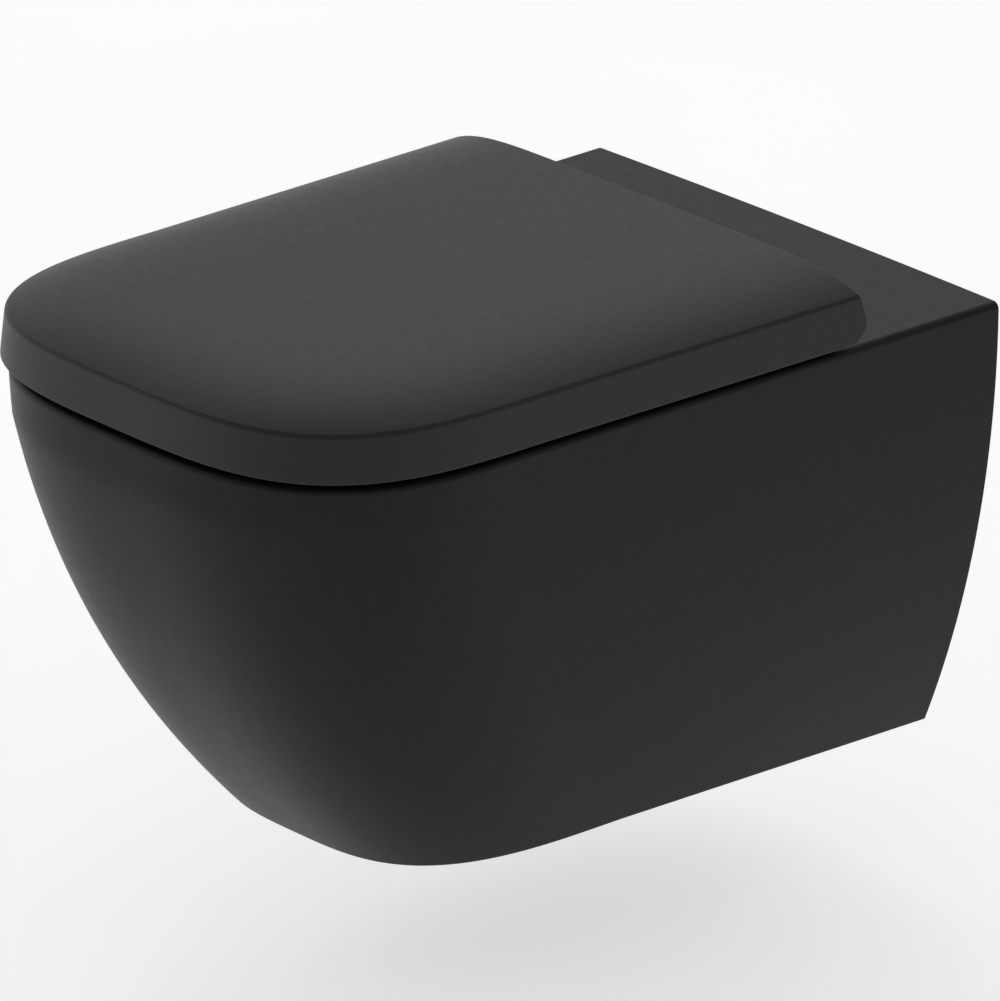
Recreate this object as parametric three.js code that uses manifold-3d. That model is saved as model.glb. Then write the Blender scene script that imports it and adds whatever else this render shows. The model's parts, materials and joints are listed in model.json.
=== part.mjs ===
// Wall-hung toilet: a ceramic pan bolted to a wall, with a wrap-over seat and cover on lift-off hinges.
// Millimetres, +Z up. The wall face is the plane y = 0 and the pan reaches out along -Y.
// The origin lies on the wall face, midway between the two wall fixings. +X is right, seen from in front.
import * as THREE from "three";
import { mergeVertices } from "three/addons/utils/BufferGeometryUtils.js";
import Module from "manifold-3d";

const wasm = await Module();
wasm.setup();

// ---------------------------------------------------------------- driving dimensions

const rimTop = 80; // flat top of the pan, above the fixing height
const panDepth = 292.6; // rim to underside
const panHalfWidth = 182.5; // at the wall, at the rim
const panReach = 541; // wall to the front of the rim
const wallThick = 12; // ceramic wall
const deckThick = 14; // ceramic under the seat and behind the wall face

const fixingHalfSpacing = 90; // wall fixings are 180 apart
const fixingBore = 13.5; // radius
const fixingBoreDepth = 146;
const inletHeight = 35; // flush inlet above the fixings
const inletBore = 27.5; // radius, for a 55 mm socket
const outletHeight = -100; // waste outlet below the fixings
const outletBore = 45; // radius
const outletSpigot = 51; // radius, a 102 mm spigot
const trapBore = 25; // radius of the waterway
const bowlWall = 11;

const hingeHalfSpacing = 77.5; // hinge posts are 155 apart
const axisY = -125.5; // seat and cover turn about this line, along X
const axisZ = rimTop + 18.8;
const hingePinRadius = 4;
const lugRadius = 7.5;
const runningGap = 0.35; // radial clearance of a turning joint
const touchGap = 0.3; // between pieces that rest on each other

const coverBottom = rimTop + 4.2;
const coverCrease = rimTop + 33.6; // where the skirt meets the crowned top
const coverCrown = 11.7; // rise of the top above the crease
const coverHalfWidth = 188.2; // at the skirt's foot, if its sides ran on to the wall
const coverReach = 541.3; // wall to the front of the skirt's foot
const coverDraft = 2.6; // how far the skirt draws in between its foot and the crease
const coverSkin = 5;
const seatBottom = rimTop + 4.2;
const seatTop = rimTop + 25;
const seatInset = 11; // seat edge inside the foot of the cover's skirt
const seatRear = -151.5;

// ---------------------------------------------------------------- materials

const finish = (color, roughness, metalness = 0) =>
  new THREE.MeshStandardMaterial({ color, roughness, metalness });
const ceramic = finish("#3d3e40", 0.5);
const duroplast = finish("#3f4042", 0.55);
const rubber = finish("#1b1b1c", 0.85);
const steel = finish("#b9bcbf", 0.3, 1);
const brass = finish("#b08d4a", 0.4, 1);
const nylon = finish("#d9d8d2", 0.6);
const blockPlastic = finish("#2c2d2f", 0.5);

// ---------------------------------------------------------------- solids

function toSolid(geometry) {
  const bare = geometry.clone();
  bare.deleteAttribute("normal");
  bare.deleteAttribute("uv");
  const merged = mergeVertices(bare, 1e-4);
  const vertProperties = new Float32Array(merged.attributes.position.array);
  const triVerts = new Uint32Array(merged.index.array);
  const made = new wasm.Manifold(new wasm.Mesh({ numProp: 3, vertProperties, triVerts }));
  if (made.volume() >= 0) return made;
  for (let i = 0; i < triVerts.length; i += 3) {
    [triVerts[i + 1], triVerts[i + 2]] = [triVerts[i + 2], triVerts[i + 1]];
  }
  return new wasm.Manifold(new wasm.Mesh({ numProp: 3, vertProperties, triVerts }));
}

function toGeometry(solid) {
  const { numProp, vertProperties, triVerts } = solid.getMesh();
  const geometry = new THREE.BufferGeometry();
  geometry.setAttribute("position", new THREE.BufferAttribute(vertProperties, numProp));
  geometry.setIndex(new THREE.BufferAttribute(triVerts, 1));
  geometry.computeVertexNormals();
  return geometry;
}

const join = (...solids) => solids.reduce((all, next) => all.add(next));
const cut = (solid, ...tools) => tools.reduce((left, tool) => left.subtract(tool), solid);

// A box between two opposite corners.
function box([x0, y0, z0], [x1, y1, z1]) {
  const geometry = new THREE.BoxGeometry(x1 - x0, y1 - y0, z1 - z0);
  geometry.translate((x0 + x1) / 2, (y0 + y1) / 2, (z0 + z1) / 2);
  return toSolid(geometry);
}

// A round bar between two points.
function rod(radius, from, to, sides = 16) {
  const start = new THREE.Vector3(...from);
  const span = new THREE.Vector3(...to).sub(start);
  const geometry = new THREE.CylinderGeometry(radius, radius, span.length(), sides);
  const turn = new THREE.Quaternion();
  turn.setFromUnitVectors(new THREE.Vector3(0, 1, 0), span.clone().normalize());
  geometry.applyQuaternion(turn);
  geometry.translate(...start.addScaledVector(span, 0.5));
  return toSolid(geometry);
}

// A turned piece: [radius, height] points of a closed section, spun about Z.
function turned(section, sides = 16) {
  const points = [...section, section[0]].map(([r, h]) => new THREE.Vector2(r, h));
  const geometry = new THREE.LatheGeometry(points, sides);
  geometry.rotateX(Math.PI / 2);
  return toSolid(geometry);
}

// A turned piece laid along +Y from (x, 0, z): the section's heights become distances along Y.
function turnedAlongY(section, x, z, sides = 16) {
  const points = [...section, section[0]].map(([r, h]) => new THREE.Vector2(r, h));
  const geometry = new THREE.LatheGeometry(points, sides);
  geometry.translate(x, 0, z);
  return toSolid(geometry);
}

// A prism along X between x0 and x1, from a Shape drawn in the Y-Z plane.
function prismAlongX(shape, x0, x1, curveSegments = 8) {
  const geometry = new THREE.ExtrudeGeometry(shape, {
    depth: x1 - x0,
    bevelEnabled: false,
    curveSegments,
  });
  const basis = new THREE.Matrix4().makeBasis(
    new THREE.Vector3(0, 1, 0),
    new THREE.Vector3(0, 0, 1),
    new THREE.Vector3(1, 0, 0),
  );
  geometry.applyMatrix4(basis);
  geometry.translate(x0, 0, 0);
  return toSolid(geometry);
}

// A skin through level rings, lowest first, closed by a flat cap at each end.
// Every ring is { z, outline }, and all the outlines have the same number of points.
function loft(rings) {
  const count = rings[0].outline.length;
  const turnedOver = THREE.ShapeUtils.area(rings[0].outline) < 0;
  const outlines = rings.map(({ outline }) => (turnedOver ? [...outline].reverse() : outline));
  const positions = outlines.flatMap((outline, k) => outline.flatMap((p) => [p.x, p.y, rings[k].z]));
  const index = [];
  for (let k = 0; k + 1 < rings.length; k++) {
    for (let i = 0; i < count; i++) {
      const a = k * count + i;
      const b = k * count + ((i + 1) % count);
      index.push(a, b, b + count, a, b + count, a + count);
    }
  }
  const last = (rings.length - 1) * count;
  THREE.ShapeUtils.triangulateShape(outlines[0], []).forEach(([a, b, c]) => index.push(c, b, a));
  THREE.ShapeUtils.triangulateShape(outlines.at(-1), []).forEach(([a, b, c]) =>
    index.push(last + a, last + b, last + c),
  );
  const geometry = new THREE.BufferGeometry();
  geometry.setAttribute("position", new THREE.Float32BufferAttribute(positions, 3));
  geometry.setIndex(index);
  return toSolid(geometry);
}

// ---------------------------------------------------------------- outlines

// D-shaped plan: straight sides from the rear line, then a superelliptic nose.
// halfWidth is measured at y = 0, and taper is how much it shrinks per unit of reach.
function nosePlan({ halfWidth, taper, front, noseLength, power, rear }, steps) {
  const noseStart = front + noseLength;
  const noseHalf = halfWidth + taper * noseStart;
  const right = [new THREE.Vector2(halfWidth + taper * rear, rear)];
  for (let i = 0; i <= steps; i++) {
    const angle = (i / steps) * (Math.PI / 2);
    const x = noseHalf * Math.max(Math.cos(angle), 0) ** (2 / power);
    const y = noseStart - noseLength * Math.sin(angle) ** (2 / power);
    right.push(new THREE.Vector2(i === steps ? 0 : x, y));
  }
  const left = right.slice(0, -1).map((p) => new THREE.Vector2(-p.x, p.y));
  return [...right, ...left.reverse()];
}

// Closed oval of the bowl, blunt at both ends.
function ovalPlan(halfWidth, front, rear, power, count) {
  const middle = (front + rear) / 2;
  const halfLength = (rear - front) / 2;
  const rounded = (value) => Math.sign(value) * Math.abs(value) ** (2 / power);
  return Array.from({ length: count }, (_, i) => {
    const angle = ((i + 0.5) / count) * 2 * Math.PI;
    const x = halfWidth * rounded(Math.cos(angle));
    return new THREE.Vector2(x, middle + halfLength * rounded(Math.sin(angle)));
  });
}

// ---------------------------------------------------------------- pan

const outsideSteps = 10; // points round a visible nose
const hiddenSteps = 6; // points round a hidden one

// Outer plan of the pan at a depth below the rim, drawn in by inset.
function panPlan(depth, inset, rear, steps) {
  const fall = depth / panDepth;
  const sideRadius = 731;
  const tuck = sideRadius - Math.sqrt(sideRadius ** 2 - Math.max(depth - 3, 0) ** 2);
  const sweep = 0.1397 * depth + 0.000805 * depth ** 2 + 1.247e-6 * depth ** 3 - 4.84;
  const plan = {
    halfWidth: panHalfWidth - tuck - inset,
    taper: 0.01 + 0.0224 * fall,
    front: -panReach + Math.max(sweep, 0) + inset,
    noseLength: 159.7 - inset / 2,
    power: 2.93 - 0.75 * fall + 1.13 * fall ** 2,
    rear,
  };
  return nosePlan(plan, steps);
}

function panOutside() {
  const levels = [
    [0, 3],
    [0.9, 0.9],
    [3, 0],
    [30, 0],
    [60, 0],
    [100, 0],
    [140, 0],
    [180, 0],
    [215, 0],
    [250, 0],
    [275, 0],
    [panDepth - 1.5, 0],
    [panDepth, 1.5],
  ];
  const rings = levels.map(([depth, inset]) => ({
    z: rimTop - depth,
    outline: panPlan(depth, inset, 0, outsideSteps),
  }));
  return loft(rings.reverse());
}

// Space inside the outer skirt, drawn in by inset and closed at rear, from one depth to another.
function panSpace(inset, rear, top, bottom) {
  const fractions = [0, 0.2, 0.4, 0.6, 0.8, 1];
  const rings = fractions.map((fraction) => {
    const depth = top + fraction * (bottom - top);
    return { z: rimTop - depth, outline: panPlan(depth, inset, rear, hiddenSteps) };
  });
  return loft(rings.reverse());
}

// [height above the fixings, half width, front, rear] of the bowl's inner face, from the rim down.
const bowlLevels = [
  [rimTop + 1, 128, -498, -172],
  [rimTop - 22, 127, -497, -173],
  [20, 117, -484, -177],
  [-40, 94, -440, -183],
  [-90, 66, -372, -190],
  [-130, 47, -322, -196],
  [-165, 38, -296, -203],
  [-182, 32, -288, -210],
  [-188, 22, -276, -222],
];

function bowlSolid(grow, topLevel, bottomLevel) {
  const rings = bowlLevels.map(([z, halfWidth, front, rear]) => ({
    z,
    outline: ovalPlan(halfWidth + grow, front - grow, rear + grow, 2.4, 22),
  }));
  rings[0].z = topLevel;
  rings.at(-1).z = bottomLevel;
  return loft(rings.reverse());
}

// Waterway of the trap: out of the foot of the bowl, up over the weir and down to the outlet.
function trapTube(radius) {
  const route = [
    [-252, -163],
    [-222, -163],
    [-192, -155],
    [-163, -124],
    [-136, -82],
    [-104, -62],
    [-74, -72],
    [-52, -93],
    [-34, -100],
  ];
  const path = new THREE.CatmullRomCurve3(route.map(([y, z]) => new THREE.Vector3(0, y, z)));
  const section = new THREE.Shape().absarc(0, 0, radius, 0, 2 * Math.PI);
  const geometry = new THREE.ExtrudeGeometry(section, {
    steps: 12,
    curveSegments: 5,
    bevelEnabled: false,
    extrudePath: path,
  });
  return toSolid(geometry);
}

// Along the slanted bore that leads from a hinge hole down to the wall fixing below it.
const clampTop = (side) => [side * hingeHalfSpacing, axisY, 60];
const clampFoot = (side) => [side * fixingHalfSpacing, axisY, 0];
const hingeHoleRadius = 7.5;
const hingeHoleBottom = 38;
const clampBore = 7;
const fixingBoss = 24; // radius of the ceramic round a wall fixing
const hingePillar = 22; // radius of the ceramic round a hinge hole
const buried = 4; // how far a boss starts below the face that it stands on
const past = 2; // how far a cutter reaches past the face that it opens

function fixingBosses(side) {
  const x = side * fixingHalfSpacing;
  const pillarX = (side * (hingeHalfSpacing + fixingHalfSpacing)) / 2;
  const bar = rod(fixingBoss, [x, -buried, 0], [x, -fixingBoreDepth - 9, 0]);
  const pillar = rod(hingePillar, [pillarX, axisY, -buried], [pillarX, axisY, rimTop - buried]);
  return join(bar, pillar);
}

function fixingBores(side) {
  const x = side * fixingHalfSpacing;
  const hingeX = side * hingeHalfSpacing;
  const wallBore = rod(fixingBore, [x, past, 0], [x, -fixingBoreDepth, 0]);
  const hingeHole = rod(hingeHoleRadius, [hingeX, axisY, rimTop + past], [hingeX, axisY, hingeHoleBottom]);
  const slantedBore = rod(clampBore, clampTop(side), clampFoot(side));
  return join(wallBore, hingeHole, slantedBore);
}

// Water from the inlet runs forward in a wide, low duct and enters the bowl through a slot below the rim.
const ductHalfWidth = 40;
const ductHalfHeight = 7;
const ductFront = -190;
const inletDepth = 50;

function flushPassage() {
  return join(
    rod(inletBore, [0, past, inletHeight], [0, -inletDepth, inletHeight], 20),
    box(
      [-ductHalfWidth, ductFront, inletHeight - ductHalfHeight],
      [ductHalfWidth, 5 - inletDepth, inletHeight + ductHalfHeight],
    ),
  );
}

function flushWalls() {
  const half = ductHalfWidth + bowlWall;
  return join(
    rod(36, [0, -buried, inletHeight], [0, -inletDepth - 10, inletHeight]),
    box(
      [-half, ductFront + 14, inletHeight - ductHalfHeight - bowlWall],
      [half, -inletDepth, inletHeight + ductHalfHeight + bowlWall],
    ),
  );
}

function panBody() {
  const outside = panOutside();
  const bowlFoot = bowlLevels.at(-1)[0];
  const outletPipe = rod(outletSpigot, [0, -past, outletHeight], [0, -62, outletHeight], 24);
  const inner = join(
    bowlSolid(bowlWall, rimTop - buried, bowlFoot - wallThick),
    trapTube(trapBore + 10),
    flushWalls(),
    fixingBosses(-1),
    fixingBosses(1),
  ).intersect(outside);
  const floorDepth = panDepth - wallThick;
  const hollow = panSpace(wallThick, -deckThick, deckThick, floorDepth);
  const windowDepth = rimTop + 24; // the wall plate is closed above this and open below
  const behind = box([-200, -deckThick - 1, -250], [200, 3, 0]);
  const rearWindow = panSpace(wallThick + 2, 2, windowDepth, floorDepth - 2).intersect(behind);
  const skirt = cut(outside, hollow, rearWindow);
  return cut(
    join(skirt, inner, outletPipe),
    bowlSolid(0, rimTop + past, bowlFoot),
    trapTube(trapBore),
    rod(outletBore, [0, past, outletHeight], [0, -48, outletHeight], 24),
    flushPassage(),
    fixingBores(-1),
    fixingBores(1),
  );
}

// ---------------------------------------------------------------- seals and wall fixings

function inletSeal() {
  const outer = inletBore - touchGap;
  const section = [
    [outer, -46],
    [outer, -0.6],
    [22, -0.6],
    [20.5, -8],
    [22.5, -12],
    [22.5, -46],
  ];
  return turnedAlongY(section, 0, inletHeight, 20);
}

function outletSeal() {
  const inner = outletSpigot + touchGap;
  const section = [
    [inner, -26],
    [inner + 2.2, -26],
    [inner + 4.4, -20],
    [inner + 2.4, -17],
    [inner + 4.4, -11],
    [inner + 2.2, -6],
    [inner, -6],
  ];
  return turnedAlongY(section, 0, outletHeight, 24);
}

// Plastic sleeve that centres the pan on the fixing.
function fixingSleeve(side) {
  const section = [
    [10.4, -48],
    [12.6, -48],
    [13.1, -44],
    [13.1, -1],
    [10.4, -1],
  ];
  return turnedAlongY(section, side * fixingHalfSpacing, 0);
}

const anchorRadius = 10;
const anchorRear = -5;

// Steel bush that screws onto the wall's M12 stud.
function anchorBush(side) {
  const x = side * fixingHalfSpacing;
  const studHoleRadius = 5.4;
  const section = [
    [studHoleRadius, -66],
    [studHoleRadius, anchorRear],
    [anchorRadius, anchorRear],
    [anchorRadius, -136],
    [anchorRadius - 1.5, -138],
    [0, -138],
    [0, -66],
  ];
  return turnedAlongY(section, x, 0);
}

// A point on the slanted bore, a given distance up from the middle of the wall fixing.
function clampPoint(side, distance) {
  const foot = new THREE.Vector3(...clampFoot(side));
  const lean = new THREE.Vector3(...clampTop(side)).sub(foot).normalize();
  return foot.addScaledVector(lean, distance).toArray();
}

function clampScrew(side) {
  const screw = rod(4, clampPoint(side, anchorRadius + 0.5), clampPoint(side, 34), 12);
  const socket = rod(2.3, clampPoint(side, 29), clampPoint(side, 35), 6);
  return cut(screw, socket);
}

function clampInsert(side) {
  const insert = rod(clampBore - touchGap, clampPoint(side, 15), clampPoint(side, 32));
  return cut(insert, rod(4.3, clampPoint(side, 14), clampPoint(side, 33), 12));
}

// ---------------------------------------------------------------- hinge posts, fixed in the deck

const gasketTop = rimTop + 1.1;
const rosetteTop = rimTop + 3.4;
const postTop = rimTop + 10.8;
const rosetteRadius = 17;
const postRadius = 5;
const stemRadius = 3.9;

const onHinge = (solid, side) => solid.translate([side * hingeHalfSpacing, axisY, 0]);

function hingeGasket() {
  const bottom = rimTop + touchGap;
  return turned([
    [5, bottom],
    [rosetteRadius - 0.5, bottom],
    [rosetteRadius - 0.5, gasketTop],
    [5, gasketTop],
  ]);
}

// Base plate, post with a detent groove, and threaded stem in one turned piece.
function hingePost() {
  const plateBottom = gasketTop + touchGap;
  return turned([
    [0, 44],
    [stemRadius, 44],
    [stemRadius, plateBottom],
    [rosetteRadius, plateBottom],
    [rosetteRadius, rosetteTop - 0.8],
    [rosetteRadius - 0.8, rosetteTop],
    [postRadius, rosetteTop],
    [postRadius, rosetteTop + 2],
    [postRadius - 0.9, rosetteTop + 2.6],
    [postRadius - 0.9, rosetteTop + 4.2],
    [postRadius, rosetteTop + 4.8],
    [postRadius, postTop - 1],
    [postRadius - 1, postTop],
    [0, postTop],
  ]);
}

// Rubber plug that swells in the deck hole when the nut below it is drawn up.
function hingeDowel() {
  return turned([
    [stemRadius + 0.3, 52],
    [hingeHoleRadius - 1, 52],
    [hingeHoleRadius - touchGap, 56],
    [hingeHoleRadius - touchGap, rimTop - 2],
    [stemRadius + 0.3, rimTop - 2],
  ]);
}

function dowelNut() {
  return turned([
    [stemRadius + 0.3, 43],
    [7, 45],
    [6, 51.6],
    [stemRadius + 0.3, 51.6],
  ]);
}

// ---------------------------------------------------------------- hinge blocks, lifted off with the seat

const blockHalfWidth = 17.5;
const blockFront = -146;
const blockCrown = 10.5; // radius of the block's round head about the hinge axis
const blockBottom = rosetteTop + touchGap;
const damperRadius = 6.1;
const damperLength = 24;
const buttonTravel = 3;
const buttonLow = rimTop + 5.4;
const buttonHigh = rimTop + 10.2;
const buttonHalfWidth = 6;
const springRear = -131.9;
const springFront = -138.6;

// side is -1 or 1. damperSide is the way, along X, that the block's damper faces.
function hingeBlock(side, damperSide) {
  const outline = new THREE.Shape();
  outline.moveTo(blockFront + 1.5, blockBottom);
  outline.lineTo(axisY + blockCrown, blockBottom);
  outline.lineTo(axisY + blockCrown, axisZ);
  outline.absarc(axisY, axisZ, blockCrown, 0, Math.PI * 0.86, false);
  outline.lineTo(blockFront, rimTop + 15);
  outline.lineTo(blockFront, blockBottom + 1.5);
  const x = side * hingeHalfSpacing;
  const body = prismAlongX(outline, x - blockHalfWidth, x + blockHalfWidth);
  const face = x + damperSide * blockHalfWidth;
  const step = face - damperSide * (damperLength + 0.5);
  const pocket = rod(damperRadius + touchGap, [face + damperSide, axisY, axisZ], [step, axisY, axisZ]);
  const pinEnd = x - damperSide * (blockHalfWidth + 1);
  const pinBore = rod(hingePinRadius + touchGap, [step + damperSide, axisY, axisZ], [pinEnd, axisY, axisZ]);
  const postBore = rod(postRadius + 0.4, [x, axisY, rimTop], [x, axisY, postTop + 0.4]);
  const half = buttonHalfWidth + touchGap;
  const buttonSlot = box(
    [x - half, blockFront - 1, buttonLow - touchGap],
    [x + half, springRear + 0.4, buttonHigh + touchGap],
  );
  return cut(body, pocket, pinBore, postBore, buttonSlot);
}

const lugInner = 45; // seat lugs lie inboard of the blocks
const lugOuter = 58.5;
const coverLugInner = 96.5; // cover lugs lie outboard of them
const coverLugOuter = 110;

// Soft-close cartridge: a drum in the block and a spindle that reaches into a lug.
function damper(side, damperSide, spindleEnd) {
  const face = side * hingeHalfSpacing + damperSide * blockHalfWidth;
  const drumStart = face - damperSide * damperLength;
  const drum = rod(damperRadius, [drumStart, axisY, axisZ], [face - damperSide * 0.5, axisY, axisZ]);
  const spindle = rod(hingePinRadius, [face - damperSide, axisY, axisZ], [spindleEnd, axisY, axisZ]);
  return join(drum, spindle);
}

// Plain pin on the other side of a block.
function hingePin(side, damperSide, pinEnd) {
  const face = side * hingeHalfSpacing + damperSide * blockHalfWidth;
  const start = face - damperSide * (damperLength + 1);
  return rod(hingePinRadius, [start, axisY, axisZ], [pinEnd, axisY, axisZ]);
}

function releaseButton(side) {
  const x = side * hingeHalfSpacing;
  const proud = buttonTravel + 0.4;
  return box(
    [x - buttonHalfWidth, blockFront - proud, buttonLow],
    [x + buttonHalfWidth, springFront - touchGap, buttonHigh],
  );
}

// Small coil spring behind the button.
function releaseSpring(side) {
  const x = side * hingeHalfSpacing;
  const z = (buttonLow + buttonHigh) / 2;
  const coilRadius = 1.7;
  const wire = 0.3;
  const turns = 3;
  class Helix extends THREE.Curve {
    getPoint(t) {
      const angle = t * turns * 2 * Math.PI;
      const y = springFront + wire + t * (springRear - springFront - 2 * wire);
      return new THREE.Vector3(x + coilRadius * Math.cos(angle), y, z + coilRadius * Math.sin(angle));
    }
  }
  const section = new THREE.Shape().absarc(0, 0, wire, 0, 2 * Math.PI);
  const geometry = new THREE.ExtrudeGeometry(section, {
    steps: turns * 8,
    curveSegments: 2,
    bevelEnabled: false,
    extrudePath: new Helix(),
  });
  return toSolid(geometry);
}

// ---------------------------------------------------------------- seat and cover

// Plan of the cover's outer face at a height, drawn in by inset, and closed by a straight line at rear.
function coverPlan(z, inset, rear, steps = outsideSteps) {
  const climb = (z - coverBottom) / (coverCrease - coverBottom);
  const draft = coverDraft * Math.min(Math.max(climb, 0), 1);
  const plan = {
    halfWidth: coverHalfWidth - draft - inset,
    taper: 0.0167,
    front: -coverReach + draft + inset,
    noseLength: 177.6 - inset * 0.9,
    power: 3.32,
    rear,
  };
  return nosePlan(plan, steps);
}

// How far the crowned top stands above the crease, at a distance in from its edge.
function crownRise(inset) {
  const across = 1 - inset / panHalfWidth;
  return coverCrown * (1 - across ** 7.3);
}

const coverBack = -111; // furthest back that the cover reaches

// The cover's rear face: nearly upright above its widest line, and rolled under below it.
function coverRear(z) {
  const widest = rimTop + 17;
  if (z < widest) return coverBack - 11 * ((widest - z) / (widest - coverBottom)) ** 2;
  if (z <= coverCrease) return coverBack - 5 * ((z - widest) / (coverCrease - widest)) ** 1.3;
  return coverBack - 5 - (2 * (z - coverCrease)) / coverCrown;
}

function coverOutside() {
  const skirt = [
    [coverBottom, 1],
    [coverBottom + 1, 0],
    [rimTop + 7, 0],
    [rimTop + 11, 0],
    [rimTop + 17, 0],
    [rimTop + 25, 0],
    [coverCrease - 1.2, 0],
  ];
  const crownInsets = [1.2, 3, 6, 11, 19, 31, 49, 75, 110];
  const crown = crownInsets.map((inset) => [coverCrease + crownRise(inset), inset]);
  return loft(
    [...skirt, ...crown].map(([z, inset]) => ({ z, outline: coverPlan(z, inset, coverRear(z)) })),
  );
}

function coverInside() {
  const rearSkin = 3.5;
  const skirt = [coverBottom - 1, rimTop + 8, rimTop + 17, rimTop + 27].map((z) => [z, coverSkin]);
  const crown = [7, 14, 26, 50, 110].map((inset) => [coverCrease + crownRise(inset) - coverSkin, inset]);
  return loft(
    [...skirt, ...crown].map(([z, inset]) => ({
      z,
      outline: coverPlan(z, inset, coverRear(Math.max(z, coverBottom)) - rearSkin, hiddenSteps),
    })),
  );
}

const crownUnderside = coverCrease + coverCrown - coverSkin;

// Bored lug on the hinge axis between two places along X.
function lugBar(x0, x1) {
  return rod(lugRadius, [x0, axisY, axisZ], [x1, axisY, axisZ]);
}

function pinBores(inner, outer) {
  const radius = hingePinRadius + runningGap;
  const bore = (side) => rod(radius, [side * inner, axisY, axisZ], [side * outer, axisY, axisZ]);
  return join(bore(-1), bore(1));
}

function cover() {
  const shell = cut(coverOutside(), coverInside());
  const cutTop = coverCrease - 0.4;
  let made = shell;
  for (const side of [-1, 1]) {
    const [x0, x1] = [side * (lugInner - 2.5), side * (coverLugInner + 2)].sort((a, b) => a - b);
    made = cut(made, box([x0, -135, coverBottom - 2], [x1, -105, cutTop]));
    const [w0, w1] = [side * coverLugInner, side * coverLugOuter].sort((a, b) => a - b);
    const web = box([w0, axisY - lugRadius, axisZ], [w1, axisY + lugRadius, crownUnderside + 1]);
    made = join(made, lugBar(w0, w1), web);
  }
  return cut(made, pinBores(coverLugInner - 1, coverLugOuter + 1));
}

function seatRing() {
  const levels = [
    [seatBottom, 1.5],
    [seatBottom + 1.5, 0],
    [seatTop - 6, 0],
    [seatTop - 2, 2],
    [seatTop, 8],
  ];
  const body = loft(
    levels.map(([z, inset]) => ({
      z,
      outline: coverPlan(coverBottom, seatInset + inset, seatRear - inset / 2),
    })),
  );
  const opening = [
    [seatBottom - 1, 110],
    [seatBottom + 6, 108],
    [seatTop - 8, 109],
    [seatTop - 2, 115],
    [seatTop + 1, 122],
  ];
  const hole = loft(
    opening.map(([z, half]) => ({ z, outline: ovalPlan(half, -388 - half, -312 + half, 2.3, 24) })),
  );
  let made = cut(body, hole);
  for (const side of [-1, 1]) {
    const [x0, x1] = [side * lugInner, side * lugOuter].sort((a, b) => a - b);
    const arm = new THREE.Shape();
    arm.moveTo(seatRear - 6, seatBottom + 1.5);
    arm.lineTo(axisY, axisZ - lugRadius);
    arm.absarc(axisY, axisZ, lugRadius, -Math.PI / 2, Math.PI / 2, false);
    arm.lineTo(seatRear - 6, seatTop - 1.5);
    made = join(made, prismAlongX(arm, x0, x1));
  }
  return cut(made, pinBores(lugInner - 1, lugOuter + 1));
}

// Round rubber pad standing between two heights.
function buffer(x, y, low, high) {
  const pad = turned(
    [
      [0, low],
      [5.5, low],
      [7, low + 1],
      [7, high],
      [0, high],
    ],
    12,
  );
  return pad.translate([x, y, 0]);
}

// ---------------------------------------------------------------- assembly

const toilet = new THREE.Group();
toilet.name = "wall_hung_toilet";

function addPart(group, name, solid, material) {
  const mesh = new THREE.Mesh(toGeometry(solid), material);
  mesh.name = name;
  group.add(mesh);
}

const pan = new THREE.Group();
const hinges = new THREE.Group();
const seat = new THREE.Group();
const lid = new THREE.Group();
toilet.add(pan, hinges, seat, lid);

addPart(pan, "pan_body", panBody(), ceramic);
addPart(pan, "inlet_seal", inletSeal(), rubber);
addPart(pan, "outlet_seal", outletSeal(), rubber);

for (const [label, side] of [
  ["left", -1],
  ["right", 1],
]) {
  addPart(pan, `fixing_sleeve_${label}`, fixingSleeve(side), nylon);
  addPart(pan, `anchor_bush_${label}`, anchorBush(side), steel);
  addPart(pan, `clamp_screw_${label}`, clampScrew(side), steel);
  addPart(pan, `clamp_insert_${label}`, clampInsert(side), brass);
  addPart(pan, `hinge_gasket_${label}`, onHinge(hingeGasket(), side), rubber);
  addPart(pan, `hinge_post_${label}`, onHinge(hingePost(), side), steel);
  addPart(pan, `hinge_dowel_${label}`, onHinge(hingeDowel(), side), rubber);
  addPart(pan, `dowel_nut_${label}`, onHinge(dowelNut(), side), brass);
  // The left block's damper works the seat, inboard. The right block's works the cover, outboard.
  addPart(hinges, `hinge_block_${label}`, hingeBlock(side, 1), blockPlastic);
  addPart(hinges, `release_button_${label}`, releaseButton(side), nylon);
  addPart(hinges, `release_spring_${label}`, releaseSpring(side), steel);
}
const seatPinEnd = lugInner + 0.5;
const coverPinEnd = coverLugOuter - 0.5;
addPart(hinges, "seat_damper", damper(-1, 1, -seatPinEnd), steel);
addPart(hinges, "cover_pin", hingePin(-1, 1, -coverPinEnd), steel);
addPart(hinges, "cover_damper", damper(1, 1, coverPinEnd), steel);
addPart(hinges, "seat_pin", hingePin(1, 1, seatPinEnd), steel);

addPart(seat, "seat_ring", seatRing(), duroplast);
for (const [label, x, y] of [
  ["front_left", -95, -478],
  ["front_right", 95, -478],
  ["rear_left", -140, -215],
  ["rear_right", 140, -215],
]) {
  const pad = buffer(x, y, rimTop + touchGap, seatBottom - touchGap);
  addPart(seat, `seat_buffer_${label}`, pad, rubber);
}

addPart(lid, "cover", cover(), duroplast);
for (const [label, side] of [
  ["left", -1],
  ["right", 1],
]) {
  const low = seatTop + touchGap;
  const high = crownUnderside - 1.7;
  addPart(lid, `cover_buffer_${label}`, buffer(side * 100, -462, low, high), rubber);
}

export default toilet;
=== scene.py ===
"""Wall-hung toilet: fine meshes, finishes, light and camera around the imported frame.

Metres, +Z up. The wall face is y = 0 and the pan reaches out along -Y. Sections of small turned
pieces are listed in millimetres and scaled as they are made.
"""

import json
import math

import bmesh
import bpy
from mathutils import Matrix, Vector

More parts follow.
